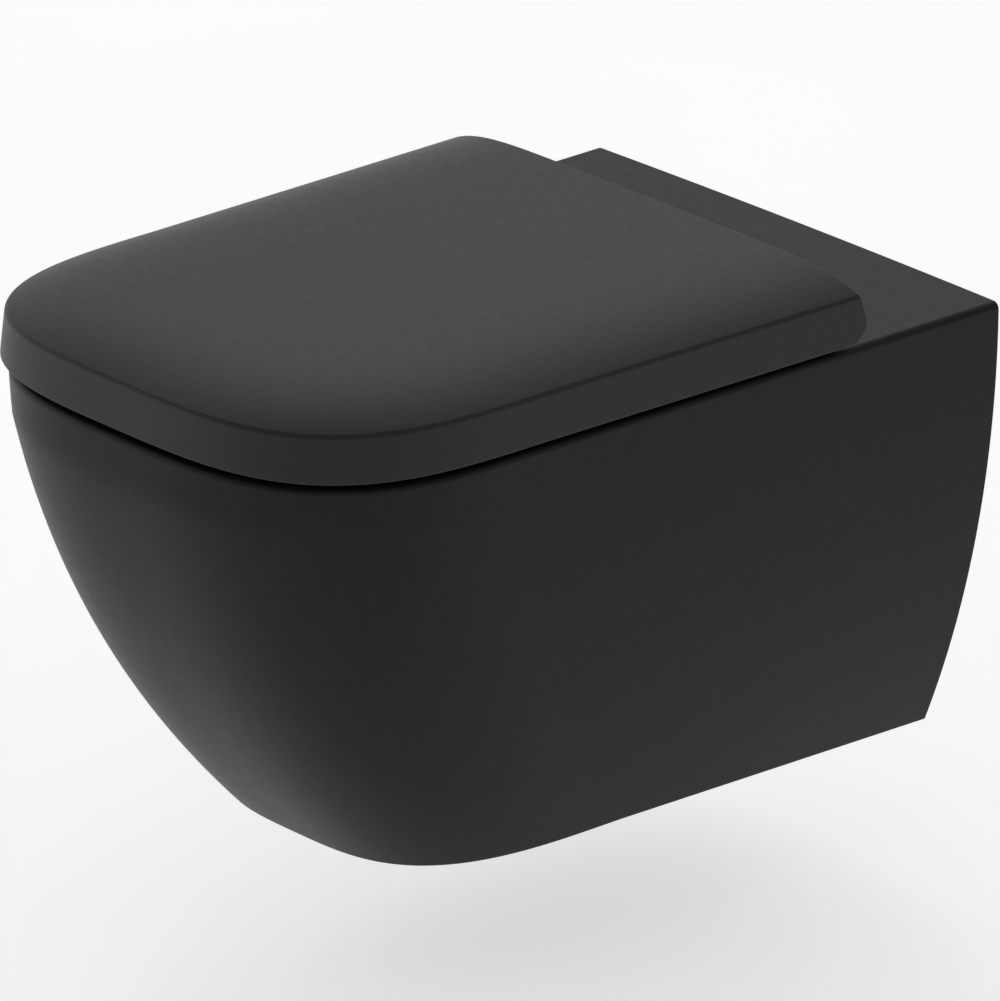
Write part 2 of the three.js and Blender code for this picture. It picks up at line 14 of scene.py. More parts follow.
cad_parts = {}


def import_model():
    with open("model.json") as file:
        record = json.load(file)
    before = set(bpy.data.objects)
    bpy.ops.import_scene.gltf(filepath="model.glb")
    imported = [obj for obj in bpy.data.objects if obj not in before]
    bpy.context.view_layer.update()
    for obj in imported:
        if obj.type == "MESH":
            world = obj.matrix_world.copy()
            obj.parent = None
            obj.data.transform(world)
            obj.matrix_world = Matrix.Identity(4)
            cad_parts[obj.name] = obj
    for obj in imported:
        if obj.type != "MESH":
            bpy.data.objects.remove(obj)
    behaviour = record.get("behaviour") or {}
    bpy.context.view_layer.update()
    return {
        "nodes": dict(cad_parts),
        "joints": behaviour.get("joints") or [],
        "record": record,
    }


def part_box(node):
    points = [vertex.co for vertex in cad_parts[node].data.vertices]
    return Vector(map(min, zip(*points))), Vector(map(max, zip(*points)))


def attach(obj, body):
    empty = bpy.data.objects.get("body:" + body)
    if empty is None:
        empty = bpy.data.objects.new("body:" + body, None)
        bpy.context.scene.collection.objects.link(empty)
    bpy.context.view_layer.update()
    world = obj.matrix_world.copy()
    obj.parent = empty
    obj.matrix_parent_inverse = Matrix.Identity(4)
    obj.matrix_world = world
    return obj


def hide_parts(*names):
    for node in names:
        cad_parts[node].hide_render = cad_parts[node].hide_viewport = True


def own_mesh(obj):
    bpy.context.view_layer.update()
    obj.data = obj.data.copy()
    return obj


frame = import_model()

MM = 0.001

# ---------------------------------------------------------------- places taken from the frame

RECORD = frame["record"]
BODY_OF = {node: body for body, nodes in RECORD["behaviour"]["bodies"].items() for node in nodes}
SLOT_OF = {row["node"]: row["material_slot"] for row in RECORD["subparts"]}
JOINTS = {joint["name"]: joint for joint in frame["joints"]}


def centre(node):
    low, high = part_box(node)
    return (low + high) / 2


PAN_LOW, PAN_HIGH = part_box("pan_body")
COVER_LOW, COVER_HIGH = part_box("cover")
SEAT_LOW, SEAT_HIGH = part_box("seat_ring")
AXIS_Y, AXIS_Z = JOINTS["seat_hinge"]["pos_m"][1:]
RIM = PAN_HIGH.z
PAN_DEPTH = PAN_HIGH.z - PAN_LOW.z
HINGE_X = centre("hinge_post_right").x
FIXING_X = centre("anchor_bush_right").x
INLET_Z = centre("inlet_seal").z
OUTLET_Z = centre("outlet_seal").z
SIDES = {"left": -1, "right": 1}

WALL = 12 * MM  # ceramic of the skirt
DECK = 14 * MM  # ceramic under the seat and behind the wall face
BOWL_WALL = 11 * MM
FLOOR = RIM - 400 * MM  # a rim stands 400 mm above the floor

# Radii in the pan
TRAP_BORE = 25 * MM
TRAP_OUTSIDE = 35 * MM
INLET_BORE = 27.5 * MM
INLET_OUTSIDE = 36 * MM
OUTLET_BORE = 45 * MM
OUTLET_OUTSIDE = 51 * MM
FIXING_BORE = 13.5 * MM
FIXING_BOSS = 24 * MM
HINGE_HOLE = 7.5 * MM
HINGE_PILLAR = 22 * MM
CLAMP_BORE = 7 * MM

# Radii in the hinges
LUG = 7.5 * MM
PIN_BORE = 4.35 * MM  # in a lug, where the pin turns
AXLE_BORE = 4.3 * MM  # in a block, where it doesn't
DRUM_BORE = 6.4 * MM
POST_BORE = 5.4 * MM

COVER_LUG = (96.5 * MM, 110 * MM)  # from the middle of the toilet, outboard of the blocks
SEAT_LUG = (45 * MM, 58.5 * MM)  # inboard of them


# ---------------------------------------------------------------- mesh building

def finish_object(name, mesh, smooth_angle=32):
    """Object of a mesh, smooth apart from edges sharper than smooth_angle degrees."""
    mesh.name = name
    mesh.shade_smooth()
    mesh.set_sharp_from_angle(angle=math.radians(smooth_angle))
    made = bpy.data.objects.new(name, mesh)
    bpy.context.scene.collection.objects.link(made)
    return made


def new_object(name, bm):
    bmesh.ops.recalc_face_normals(bm, faces=bm.faces)
    mesh = bpy.data.meshes.new(name)
    bm.to_mesh(mesh)
    bm.free()
    return finish_object(name, mesh)


def weigh_normals(piece):
    """Lets large flat faces set the shading beside small rounded edges."""
    modifier = piece.modifiers.new("weighted", "WEIGHTED_NORMAL")
    modifier.keep_sharp = True


def loft(rings):
    """Bmesh skin through rings of equal length, with one face at each end."""
    bm, rows = open_loft(rings)
    bm.faces.new(list(reversed(rows[0])))
    bm.faces.new(rows[-1])
    return bm


def open_loft(rings):
    bm = bmesh.new()
    rows = [[bm.verts.new(point) for point in ring] for ring in rings]
    count = len(rows[0])
    for lower, upper in zip(rows, rows[1:]):
        for i in range(count):
            j = (i + 1) % count
            bm.faces.new((lower[i], lower[j], upper[j], upper[i]))
    return bm, rows


def grid_cap(bm, ring):
    """Closes a ring from nose_plan with rows of quads between its right and left sides."""
    half = (len(ring) - REAR_POINTS + 1) // 2
    right = ring[:half]
    left = list(reversed(ring[half:len(ring) - REAR_POINTS]))
    columns = REAR_POINTS + 1
    rows = [[right[0], *reversed(ring[len(ring) - REAR_POINTS:]), left[0]]]
    for a, b in zip(right[1:-1], left[1:]):
        between = [bm.verts.new(a.co.lerp(b.co, k / columns)) for k in range(1, columns)]
        rows.append([a, *between, b])
    for row, following in zip(rows, rows[1:]):
        for k in range(columns):
            bm.faces.new((row[k], row[k + 1], following[k + 1], following[k]))
    for k in range(columns):
        bm.faces.new((rows[-1][k], rows[-1][k + 1], right[-1]))


def soften_edges(bm, width, segments=3, sharper_than=50):
    """Rounds the edges where two faces meet at more than an angle in degrees."""
    bmesh.ops.recalc_face_normals(bm, faces=bm.faces)
    limit = math.radians(sharper_than)
    edges = [e for e in bm.edges if len(e.link_faces) == 2 and e.calc_face_angle() > limit]
    bmesh.ops.bevel(bm, geom=edges, offset=width, segments=segments, profile=0.5, affect="EDGES",
                    clamp_overlap=True)


def spun(section, sides):
    """Bmesh of a closed (radius, height) section turned about Z."""
    bm = bmesh.new()
    rows = []
    for k in range(sides):
        angle = 2 * math.pi * k / sides
        turn = (math.cos(angle), math.sin(angle))
        rows.append([bm.verts.new((r * turn[0], r * turn[1], h)) for r, h in section])
    for a, b in zip(rows, rows[1:] + rows[:1]):
        for i, j in zip(range(len(section)), [*range(1, len(section)), 0]):
            if max(section[i][0], section[j][0]) > 0:
                bm.faces.new((a[i], a[j], b[j], b[i]))
    bmesh.ops.remove_doubles(bm, verts=bm.verts, dist=1e-7)
    return bm


def rounded(section, radius, steps=4):
    """Rounds the corners of a closed section that lie off the axis, as far as its edges allow."""
    out = []
    for i, corner in enumerate(section):
        here = Vector(corner)
        if here.x == 0:
            out.append(corner)
            continue
        before = Vector(section[i - 1]) - here
        after = Vector(section[(i + 1) % len(section)]) - here
        reach = min(radius, before.length * 0.45, after.length * 0.45)
        start = here + before.normalized() * reach
        end = here + after.normalized() * reach
        for k in range(steps + 1):
            t = k / steps
            point = start * (1 - t) ** 2 + here * 2 * t * (1 - t) + end * t ** 2
            out.append((point.x, point.y))
    return out


def aimed(start, towards):
    """Matrix that lays +Z along a direction from a starting point."""
    turn = Vector((0, 0, 1)).rotation_difference(Vector(towards))
    return Matrix.Translation(start) @ turn.to_matrix().to_4x4()


def turned(name, section, start, towards=(0, 0, 1), edge=0.4, sides=72):
    """Turned piece from a section in millimetres, its edges rounded, laid along a direction."""
    bm = spun([(r * MM, h * MM) for r, h in rounded(section, edge)], sides)
    bm.transform(aimed(start, towards))
    return new_object(name, bm)


def bar(radius, start, end, edge=0.0, sides=64):
    """Round bar between two points, with rounded ends if edge is given."""
    start, end = Vector(start), Vector(end)
    span = end - start
    section = [(0, 0), (radius, 0), (radius, span.length), (0, span.length)]
    bm = spun(rounded(section, edge, 6) if edge else section, sides)
    bm.transform(aimed(start, span))
    return new_object("bar", bm)


def bore(radius, mouth, end, flare=1.5 * MM, sides=64):
    """Cutter for a round hole whose mouth opens out in a quarter-round."""
    mouth, end = Vector(mouth), Vector(end)
    span = end - mouth
    outside = -4 * MM
    section = [(0, outside), (radius + flare, outside)]
    for k in range(7):
        angle = math.pi / 2 * k / 6
        section.append((radius + flare * (1 - math.sin(angle)), flare * (1 - math.cos(angle))))
    section += [(radius, span.length), (0, span.length)]
    bm = spun(section, sides)
    bm.transform(aimed(mouth, span))
    return new_object("bore", bm)


def block(low, high, edge=0.0, name="block"):
    """Box between two corners, with rounded edges if edge is given."""
    bm = bmesh.new()
    bmesh.ops.create_cube(bm, size=1)
    low, high = Vector(low), Vector(high)
    bm.transform(Matrix.Translation((low + high) / 2) @ Matrix.Diagonal((*(high - low), 1)))
    if edge:
        soften_edges(bm, edge, 5)
    return new_object(name, bm)


def prism(outline, x0, x1, edge, name="prism"):
    """Prism along X from a list of (y, z), its end faces drawn in to round their edges."""
    heart = sum((Vector(p) for p in outline), Vector((0, 0))) / len(outline)
    rings = []
    for k in range(4):
        angle = math.pi / 2 * k / 3
        rings.append((x0 + edge * (1 - math.sin(angle)), edge * (1 - math.cos(angle))))
    rings = [(x0 + x1 - x, draw) for x, draw in rings] + [(x, draw) for x, draw in reversed(rings)]
    skins = []
    for x, draw in sorted(rings):
        ring = [Vector(p) + (heart - Vector(p)).normalized() * draw for p in outline]
        skins.append([(x, p.x, p.y) for p in ring])
    return new_object(name, loft(skins))


def arc(middle_y, middle_z, radius, start, stop, steps=20):
    """(y, z) points of an arc between two angles in degrees."""
    angles = [math.radians(start + (stop - start) * k / steps) for k in range(steps + 1)]
    return [(middle_y + radius * math.cos(a), middle_z + radius * math.sin(a)) for a in angles]


def combine(name, base, steps):
    """Applies boolean steps [(operation, tool), ...] to base and cleans the result."""
    for operation, tool in steps:
        modifier = base.modifiers.new(operation, "BOOLEAN")
        modifier.operation = operation
        modifier.object = tool
        modifier.solver = "MANIFOLD"
    graph = bpy.context.evaluated_depsgraph_get()
    mesh = bpy.data.meshes.new_from_object(base.evaluated_get(graph))
    for used in [base, *[tool for _, tool in steps]]:
        bpy.data.objects.remove(used)
    bm = bmesh.new()
    bm.from_mesh(mesh)
    bmesh.ops.remove_doubles(bm, verts=bm.verts, dist=2e-6)
    bmesh.ops.dissolve_degenerate(bm, edges=bm.edges, dist=2e-6)
    bm.to_mesh(mesh)
    bm.free()
    return finish_object(name, mesh)


def unite(*tools):
    return [("UNION", tool) for tool in tools]


def take_away(*tools):
    return [("DIFFERENCE", tool) for tool in tools]


# ---------------------------------------------------------------- finishes

class Finish:
    """A material's node tree, with short ways to add what the finishes need."""

    def __init__(self, name):
        self.material = bpy.data.materials.new(name)
        self.material.use_nodes = True
        self.tree = self.material.node_tree
        self.shader = self.tree.nodes["Principled BSDF"]
        self.place = self.tree.nodes.new("ShaderNodeTexCoord").outputs["Object"]

    def set(self, **sockets):
        for name, value in sockets.items():
            self.shader.inputs[name.replace("_", " ")].default_value = value

    def noise(self, scale, detail=3.0, stretch=None):
        node = self.tree.nodes.new("ShaderNodeTexNoise")
        node.inputs["Scale"].default_value = scale
        node.inputs["Detail"].default_value = detail
        place = self.place
        if stretch:
            mapping = self.tree.nodes.new("ShaderNodeMapping")
            mapping.inputs["Scale"].default_value = stretch
            self.tree.links.new(place, mapping.inputs["Vector"])
            place = mapping.outputs["Vector"]
        self.tree.links.new(place, node.inputs["Vector"])
        return node.outputs["Fac"]

    def colour(self, value, first, second):
        node = self.tree.nodes.new("ShaderNodeValToRGB")
        for stop, place, shade in zip(node.color_ramp.elements, (0.35, 0.65), (first, second)):
            stop.position = place
            stop.color = (*shade, 1)
        self.tree.links.new(value, node.inputs["Fac"])
        self.tree.links.new(node.outputs["Color"], self.shader.inputs["Base Color"])

    def roughen(self, value, low, high):
        node = self.tree.nodes.new("ShaderNodeMapRange")
        limits = {"From Min": 0.3, "From Max": 0.7, "To Min": low, "To Max": high}
        for name, limit in limits.items():
            node.inputs[name].default_value = limit
        self.tree.links.new(value, node.inputs["Value"])
        self.tree.links.new(node.outputs["Result"], self.shader.inputs["Roughness"])

    def bump(self, value, distance, strength, under=None):
        node = self.tree.nodes.new("ShaderNodeBump")
        node.inputs["Distance"].default_value = distance
        node.inputs["Strength"].default_value = strength
        self.tree.links.new(value, node.inputs["Height"])
        if under:
            self.tree.links.new(under, node.inputs["Normal"])
        self.tree.links.new(node.outputs["Normal"], self.shader.inputs["Normal"])
        return node.outputs["Normal"]


def matte_glaze():
    """Fired matte glaze: faint mottling, a slow wave from firing, and a fine tooth."""
    made = Finish("matte_glaze")
    made.set(IOR=1.25)
    made.colour(made.noise(160, 4), (0.0072, 0.0075, 0.0086), (0.0092, 0.0095, 0.0107))
    made.roughen(made.noise(240, 5), 0.41, 0.46)
    wave = made.bump(made.noise(24, 1), 0.03 * MM, 0.2)
    made.bump(made.noise(900, 3), 0.02 * MM, 0.5, wave)
    return made.material


def matte_duroplast():
    """Pressed duroplast: even colour and a fine satin grain."""
    made = Finish("matte_duroplast")
    made.set(IOR=1.35)
    made.colour(made.noise(220, 4), (0.0118, 0.0121, 0.0133), (0.0138, 0.0141, 0.0154))
    made.roughen(made.noise(300, 5), 0.43, 0.49)
    made.bump(made.noise(1100, 3), 0.02 * MM, 0.6)
    return made.material


def soft_rubber():
    made = Finish("soft_rubber")
    made.colour(made.noise(120, 4), (0.009, 0.009, 0.0095), (0.016, 0.016, 0.0165))
    made.roughen(made.noise(300, 4), 0.62, 0.8)
    made.bump(made.noise(1500, 3), 0.03 * MM, 0.6)
    return made.material


def metal(name, first, second, low, high):
    """Turned metal with fine tool marks round its length."""
    made = Finish(name)
    made.set(Metallic=1.0)
    made.colour(made.noise(90, 3), first, second)
    marks = made.noise(260, 4, (1, 1, 14))
    made.roughen(marks, low, high)
    made.bump(marks, 0.01 * MM, 0.5)
    return made.material


def moulded(name, first, second, low, high):
    made = Finish(name)
    made.colour(made.noise(150, 3), first, second)
    made.roughen(made.noise(400, 3), low, high)
    made.bump(made.noise(1800, 2), 0.015 * MM, 0.6)
    return made.material


FINISHES = {
    "ceramic": matte_glaze(),
    "duroplast": matte_duroplast(),
    "rubber": soft_rubber(),
    "steel": metal("turned_steel", (0.50, 0.51, 0.52), (0.58, 0.585, 0.59), 0.22, 0.36),
    "brass": metal("turned_brass", (0.48, 0.34, 0.13), (0.56, 0.41, 0.17), 0.28, 0.40),
    "nylon": moulded("pale_nylon", (0.60, 0.59, 0.55), (0.66, 0.65, 0.61), 0.42, 0.55),
    "hinge_plastic": moulded("dark_moulding", (0.018, 0.0185, 0.019), (0.024, 0.0245, 0.025), 0.4, 0.5),
}


def stand_in(piece, node):
    """Puts a finished piece in a CAD node's place, on its body and in its finish."""
    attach(piece, BODY_OF[node])
    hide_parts(node)
    piece.data.materials.clear()
    piece.data.materials.append(FINISHES[SLOT_OF[node]])
    piece.data.polygons.foreach_set("material_index", [0] * len(piece.data.polygons))
    weigh_normals(piece)


# ---------------------------------------------------------------- outlines

REAR_POINTS = 11  # points along the straight rear of a plan, between its corners


def nose_plan(half_width, taper, front, nose, power, rear, steps=48, side_steps=12):
    """D-shaped plan: straight tapering sides and a superelliptic nose.

    It runs from the right rear corner round the tip to the left rear corner, then along the rear.
    """
    nose_start = front + nose
    nose_half = half_width + taper * nose_start
    right = []
    for k in range(side_steps):
        y = rear + (nose_start - rear) * k / side_steps
        right.append((half_width + taper * y, y))
    for k in range(steps + 1):
        share = k / steps
        angle = math.pi / 2 * share ** 2 * (3 - 2 * share)
        x = nose_half * max(math.cos(angle), 0) ** (2 / power)
        right.append((0 if k == steps else x, nose_start - nose * math.sin(angle) ** (2 / power)))
    left = [(-x, y) for x, y in reversed(right[:-1])]
    corner = right[0][0]
    places = [corner * (2 * k / (REAR_POINTS + 1) - 1) for k in range(1, REAR_POINTS + 1)]
    return [*right, *left, *[(x, rear) for x in places]]


def oval_plan(half_width, front, rear, power=2.4, count=120):
    middle, half = (front + rear) / 2, (rear - front) / 2
    points = []
    for k in range(count):
        angle = 2 * math.pi * (k + 0.5) / count
        c, s = math.cos(angle), math.sin(angle)
        x = half_width * math.copysign(abs(c) ** (2 / power), c)
        points.append((x, middle + half * math.copysign(abs(s) ** (2 / power), s)))
    return points


def at_height(outline, z):
    return [(x, y, z) for x, y in outline]


def smooth_levels(levels, per_span):
    """Catmull-Rom rows through a list of rows of numbers."""
    out = []
    for i in range(len(levels) - 1):
        picked = [levels[min(max(i + k, 0), len(levels) - 1)] for k in (-1, 0, 1, 2)]
        for k in range(per_span):
            t = k / per_span
            out.append([
                0.5 * (2 * q + (r - p) * t + (2 * p - 5 * q + 4 * r - s) * t ** 2
                       + (3 * q - p - 3 * r + s) * t ** 3)
                for p, q, r, s in zip(*picked)
            ])
    return [*out, levels[-1]]


# ---------------------------------------------------------------- pan

RIM_ROUND = 4.5 * MM
FOOT_ROUND = 1.5 * MM
WINDOW_TOP = 104 * MM  # the wall face is closed above this depth and open below it


def pan_plan(depth, inset, rear):
    """Plan of the pan's outer face at a depth below the rim, drawn in by inset."""
    fall = depth / PAN_DEPTH
    side_radius = 0.731
    tuck = side_radius - math.sqrt(side_radius ** 2 - max(depth - 3 * MM, 0) ** 2)
    sweep = 0.1397 * depth + 0.805 * depth ** 2 + 1.247 * depth ** 3 - 4.84 * MM
    front = PAN_LOW.y + max(sweep, 0) + inset
    power = 2.93 - 0.75 * fall + 1.13 * fall ** 2
    half = PAN_HIGH.x - tuck - inset
    return nose_plan(half, 0.01 + 0.0224 * fall, front, 0.1597 - inset / 2, power, rear)


def deck_crown(x, y):
    """The deck swells a little towards the middle of the wall edge, behind the cover."""
    across = 1 - (x / PAN_HIGH.x) ** 2
    along = min(max(1 - y / COVER_HIGH.y, 0), 1)
    return 1.4 * MM * across * along ** 2 * (3 - 2 * along)


def pan_levels():
    """(depth, inset) of the outer face, from the rim down to the underside."""
    quarter = [math.pi / 2 * k / 6 for k in range(7)]
    levels = [(RIM_ROUND * (1 - math.cos(a)), RIM_ROUND * (1 - math.sin(a))) for a in quarter]
    foot = PAN_DEPTH - FOOT_ROUND
    steps = 44
    levels += [(RIM_ROUND + (foot - RIM_ROUND) * k / steps, 0) for k in range(1, steps)]
    return levels + [(foot + FOOT_ROUND * math.sin(a), FOOT_ROUND * (1 - math.cos(a))) for a in quarter]


def pan_outside():
    rings = [at_height(pan_plan(depth, inset, 0), RIM - depth) for depth, inset in pan_levels()]
    bm, rows = open_loft(list(reversed(rings)))
    grid_cap(bm, rows[0])
    grid_cap(bm, rows[-1])
    fade = 30 * MM
    for vert in bm.verts:
        share = max(1 - (RIM - vert.co.z) / fade, 0)
        vert.co.z += deck_crown(vert.co.x, vert.co.y) * share
    soften_edges(bm, 0.8 * MM)
    return new_object("pan", bm)


def pan_space(inset, rear, top, bottom):
    """Cutter for the space inside the skirt, from one depth to another."""
    steps = 24
    rings = []
    for k in range(steps + 1):
        depth = bottom + (top - bottom) * k / steps
        rings.append(at_height(pan_plan(depth, inset, rear), RIM - depth))
    return new_object("space", loft(rings))


BOWL_LEVELS = [  # height, half width, front and rear of the bowl's inner face, in millimetres
    (80, 128, -498, -172),
    (58, 127, -497, -173),
    (20, 117, -484, -177),
    (-40, 94, -440, -183),
    (-90, 66, -372, -190),
    (-130, 47, -322, -196),
    (-165, 38, -296, -203),
    (-182, 32, -288, -210),
    (-188, 22, -276, -222),
]
BOWL_LIP = 7 * MM


def bowl_ring(level, grow, height=None):
    z, half, front, rear = [value * MM for value in level]
    return at_height(oval_plan(half + grow, front - grow, rear + grow), z if height is None else height)


def bowl_cutter():
    """The bowl's inner face, opened out in a rounded lip at the rim."""
    top = BOWL_LEVELS[0]
    rings = [bowl_ring(top, BOWL_LIP, RIM + 3 * MM)]
    for k in range(9):
        angle = math.pi / 2 * k / 8
        grow = BOWL_LIP * (1 - math.sin(angle))
        rings.append(bowl_ring(top, grow, RIM - BOWL_LIP * (1 - math.cos(angle))))
    lower = [level for level in smooth_levels(BOWL_LEVELS, 6) if level[0] * MM < RIM - BOWL_LIP - MM]
    rings += [bowl_ring(level, 0) for level in lower]
    return new_object("bowl", loft(list(reversed(rings))))


def bowl_shell():
    levels = smooth_levels(BOWL_LEVELS, 4)
    rings = [bowl_ring(level, BOWL_WALL) for level in levels[1:-1]]
    top = bowl_ring(levels[0], BOWL_WALL, RIM - 4 * MM)
    foot = bowl_ring(levels[-1], BOWL_WALL, levels[-1][0] * MM - WALL)
    return new_object("shell", loft([foot, *reversed(rings), top]))


TRAP_ROUTE = [  # y and z of the waterway's middle, from the foot of the bowl over the weir to the outlet
    (-252, -163),
    (-222, -163),
    (-192, -155),
    (-163, -124),
    (-136, -82),
    (-104, -62),
    (-74, -72),
    (-52, -93),
    (-34, -100),
]


def trap_tube(radius, sides=48):
    line = [Vector((0, y * MM, z * MM)) for y, z in smooth_levels(TRAP_ROUTE, 5)]
    across = Vector((1, 0, 0))
    rings = []
    for k, heart in enumerate(line):
        along = (line[min(k + 1, len(line) - 1)] - line[max(k - 1, 0)]).normalized()
        up = across.cross(along)
        angles = [2 * math.pi * i / sides for i in range(sides)]
        rings.append([heart + radius * (across * math.cos(a) + up * math.sin(a)) for a in angles])
    return new_object("trap", loft(rings))


def skirt():
    """The outer casting with its inside and the open part of its wall face taken out."""
    floor_depth = PAN_DEPTH - WALL
    inside = pan_space(WALL, -DECK, DECK, floor_depth)
    window = pan_space(WALL + 2 * MM, 5 * MM, WINDOW_TOP, floor_depth - 2 * MM)
    behind = block((-0.3, -DECK - MM, -0.3), (0.3, 10 * MM, 0.1))
    window = combine("window", window, [("INTERSECT", behind)])
    return combine("skirt", pan_outside(), take_away(inside, window))


def pan():
    """The whole casting: skirt, bowl, trap, inlet with its flat duct, outlet and fixing bosses."""
    duct_half = Vector((40 * MM, 0, 7 * MM))
    walls = duct_half + Vector((BOWL_WALL, 0, BOWL_WALL))
    duct_front = Vector((0, -190 * MM, INLET_Z))
    duct_rear = Vector((0, -45 * MM, INLET_Z))
    added = [
        trap_tube(TRAP_OUTSIDE),
        bowl_shell(),
        bar(INLET_OUTSIDE, (0, -4 * MM, INLET_Z), (0, -60 * MM, INLET_Z), 2 * MM),
        block(duct_front + Vector((0, 14 * MM, 0)) - walls, duct_rear + walls, 4 * MM),
        bar(OUTLET_OUTSIDE, (0, -2 * MM, OUTLET_Z), (0, -62 * MM, OUTLET_Z), 1.5 * MM, 96),
    ]
    removed = [
        bowl_cutter(),
        trap_tube(TRAP_BORE),
        bore(INLET_BORE, (0, 0, INLET_Z), (0, -50 * MM, INLET_Z), 1.5 * MM, 96),
        bore(OUTLET_BORE, (0, -2 * MM, OUTLET_Z), (0, -48 * MM, OUTLET_Z), 1.5 * MM, 96),
        block(duct_front - duct_half, duct_rear + duct_half, 5 * MM),
    ]
    for side in SIDES.values():
        fixing = side * FIXING_X
        hinge = side * HINGE_X
        pillar = (fixing + hinge) / 2
        added.append(bar(FIXING_BOSS, (fixing, -4 * MM, 0), (fixing, -155 * MM, 0), 2 * MM))
        added.append(bar(HINGE_PILLAR, (pillar, AXIS_Y, -4 * MM), (pillar, AXIS_Y, RIM - 4 * MM)))
        removed.append(bore(FIXING_BORE, (fixing, 0, 0), (fixing, -146 * MM, 0)))
        removed.append(bore(HINGE_HOLE, (hinge, AXIS_Y, RIM), (hinge, AXIS_Y, RIM - 42 * MM), MM))
        removed.append(bar(CLAMP_BORE, (hinge, AXIS_Y, RIM - 20 * MM), (fixing, AXIS_Y, 0)))
    return combine("pan_body_fine", skirt(), unite(*added) + take_away(*removed))


# ---------------------------------------------------------------- cover and seat

CREASE = RIM + 33.6 * MM  # where the cover's skirt meets its crowned top
WIDEST = RIM + 17 * MM  # where the cover's rear face reaches furthest back
CROWN = COVER_HIGH.z - CREASE
CROWN_POWER = 7.3  # how late the crowned top falls away to its edge
COVER_SKIN = 5 * MM
REAR_SKIN = 3.5 * MM
COVER_TAPER = 0.0167
COVER_HALF = 188.2 * MM  # at the skirt's foot, if its sides ran on to the wall
COVER_DRAFT = 2.6 * MM  # how far the skirt draws in between its foot and the crease
CREASE_ROUND = 3.5 * MM


def cover_plan(z, inset, rear):
    """Plan of the cover's outer face at a height, drawn in by inset."""
    climb = (z - COVER_LOW.z) / (CREASE - COVER_LOW.z)
    draft = COVER_DRAFT * min(max(climb, 0), 1)
    front = COVER_LOW.y + draft + inset
    return nose_plan(COVER_HALF - draft - inset, COVER_TAPER, front, 0.1776 - 0.9 * inset, 3.32, rear)


def crown_rise(inset):
    """How far the crowned top stands above the crease, at a distance in from its edge."""
    return CROWN * (1 - (1 - inset / PAN_HIGH.x) ** CROWN_POWER)


def cover_rear(z):
    """The cover's rear face: flat and nearly upright above its widest line, and rolled under below."""
    if z < WIDEST:
        return COVER_HIGH.y - 11 * MM * ((WIDEST - z) / (WIDEST - COVER_LOW.z)) ** 2
    return COVER_HIGH.y - 7 * MM * (z - WIDEST) / (COVER_HIGH.z - WIDEST)


def on_rear_face(place):
    """Whether a point of the outer face lies on the flat part of the rear."""
    return place.z > WIDEST - 2 * MM and abs(place.y - cover_rear(max(place.z, WIDEST))) < 0.05 * MM


def crease_levels():
    """(height, inset) round the crease, from the upright skirt onto the crown's sloping edge."""
    slope = math.atan(CROWN_POWER * CROWN / PAN_HIGH.x)
    turn = math.pi / 2 - slope
    reach = CREASE_ROUND * math.tan(turn / 2)
    angles = [turn * k / 8 for k in range(9)]
    start = CREASE - reach
    return [(start + CREASE_ROUND * math.sin(a), CREASE_ROUND * (1 - math.cos(a))) for a in angles]


def cover_outside():
    edge = 1.2 * MM
    levels = []
    for k in range(5):
        angle = math.pi / 2 * k / 4
        levels.append((COVER_LOW.z + edge * (1 - math.cos(angle)), edge * (1 - math.sin(angle))))
    crease = crease_levels()
    start, stop = COVER_LOW.z + edge, crease[0][0]
    levels += [(start + (stop - start) * k / 20, 0) for k in range(1, 20)]
    levels += crease
    first = crease[-1][1]
    insets = [first + (110 * MM - first) * (k / 34) ** 1.8 for k in range(1, 35)]
    levels += [(CREASE + crown_rise(inset), inset) for inset in insets]
    bm, rows = open_loft([at_height(cover_plan(z, inset, cover_rear(z)), z) for z, inset in levels])
    grid_cap(bm, rows[0])
    grid_cap(bm, rows[-1])
    flat = [f for f in bm.faces if all(on_rear_face(v.co) for v in f.verts)]
    bmesh.ops.dissolve_faces(bm, faces=flat, use_verts=True)
    soften_edges(bm, 3 * MM, 6)
    return new_object("outside", bm)


def cover_inside():
    low = COVER_LOW.z - MM
    top = RIM + 27 * MM
    levels = [(low + (top - low) * k / 8, COVER_SKIN) for k in range(9)]
    for k in range(1, 15):
        inset = COVER_SKIN + (2 + 103 * (k / 14) ** 2) * MM
        levels.append((CREASE + crown_rise(inset) - COVER_SKIN, inset))
    rings = []
    for z, inset in levels:
        rear = cover_rear(max(z, COVER_LOW.z)) - REAR_SKIN
        rings.append(at_height(cover_plan(z, inset, rear), z))
    return new_object("inside", loft(rings))


def cover():
    """Hollow shell with a slot in its rear lip over each hinge block, and two bored lugs."""
    lip_low, lip_high = (-135 * MM, COVER_LOW.z - 2 * MM), (-105 * MM, CREASE - 0.4 * MM)
    web_top = CREASE + CROWN - COVER_SKIN + MM
    steps = take_away(cover_inside())
    for side in SIDES.values():
        near, far = sorted((side * (SEAT_LUG[0] - 2.5 * MM), side * (COVER_LUG[0] + 2 * MM)))
        steps += take_away(block((near, *lip_low), (far, *lip_high)))
        inner, outer = sorted(side * place for place in COVER_LUG)
        steps += unite(
            bar(LUG, (inner, AXIS_Y, AXIS_Z), (outer, AXIS_Y, AXIS_Z), 0.5 * MM),
            block((inner, AXIS_Y - LUG, AXIS_Z), (outer, AXIS_Y + LUG, web_top)),
        )
        steps += take_away(bar(PIN_BORE, (inner - MM, AXIS_Y, AXIS_Z), (outer + MM, AXIS_Y, AXIS_Z)))
    return combine("cover_fine", cover_outside(), steps)


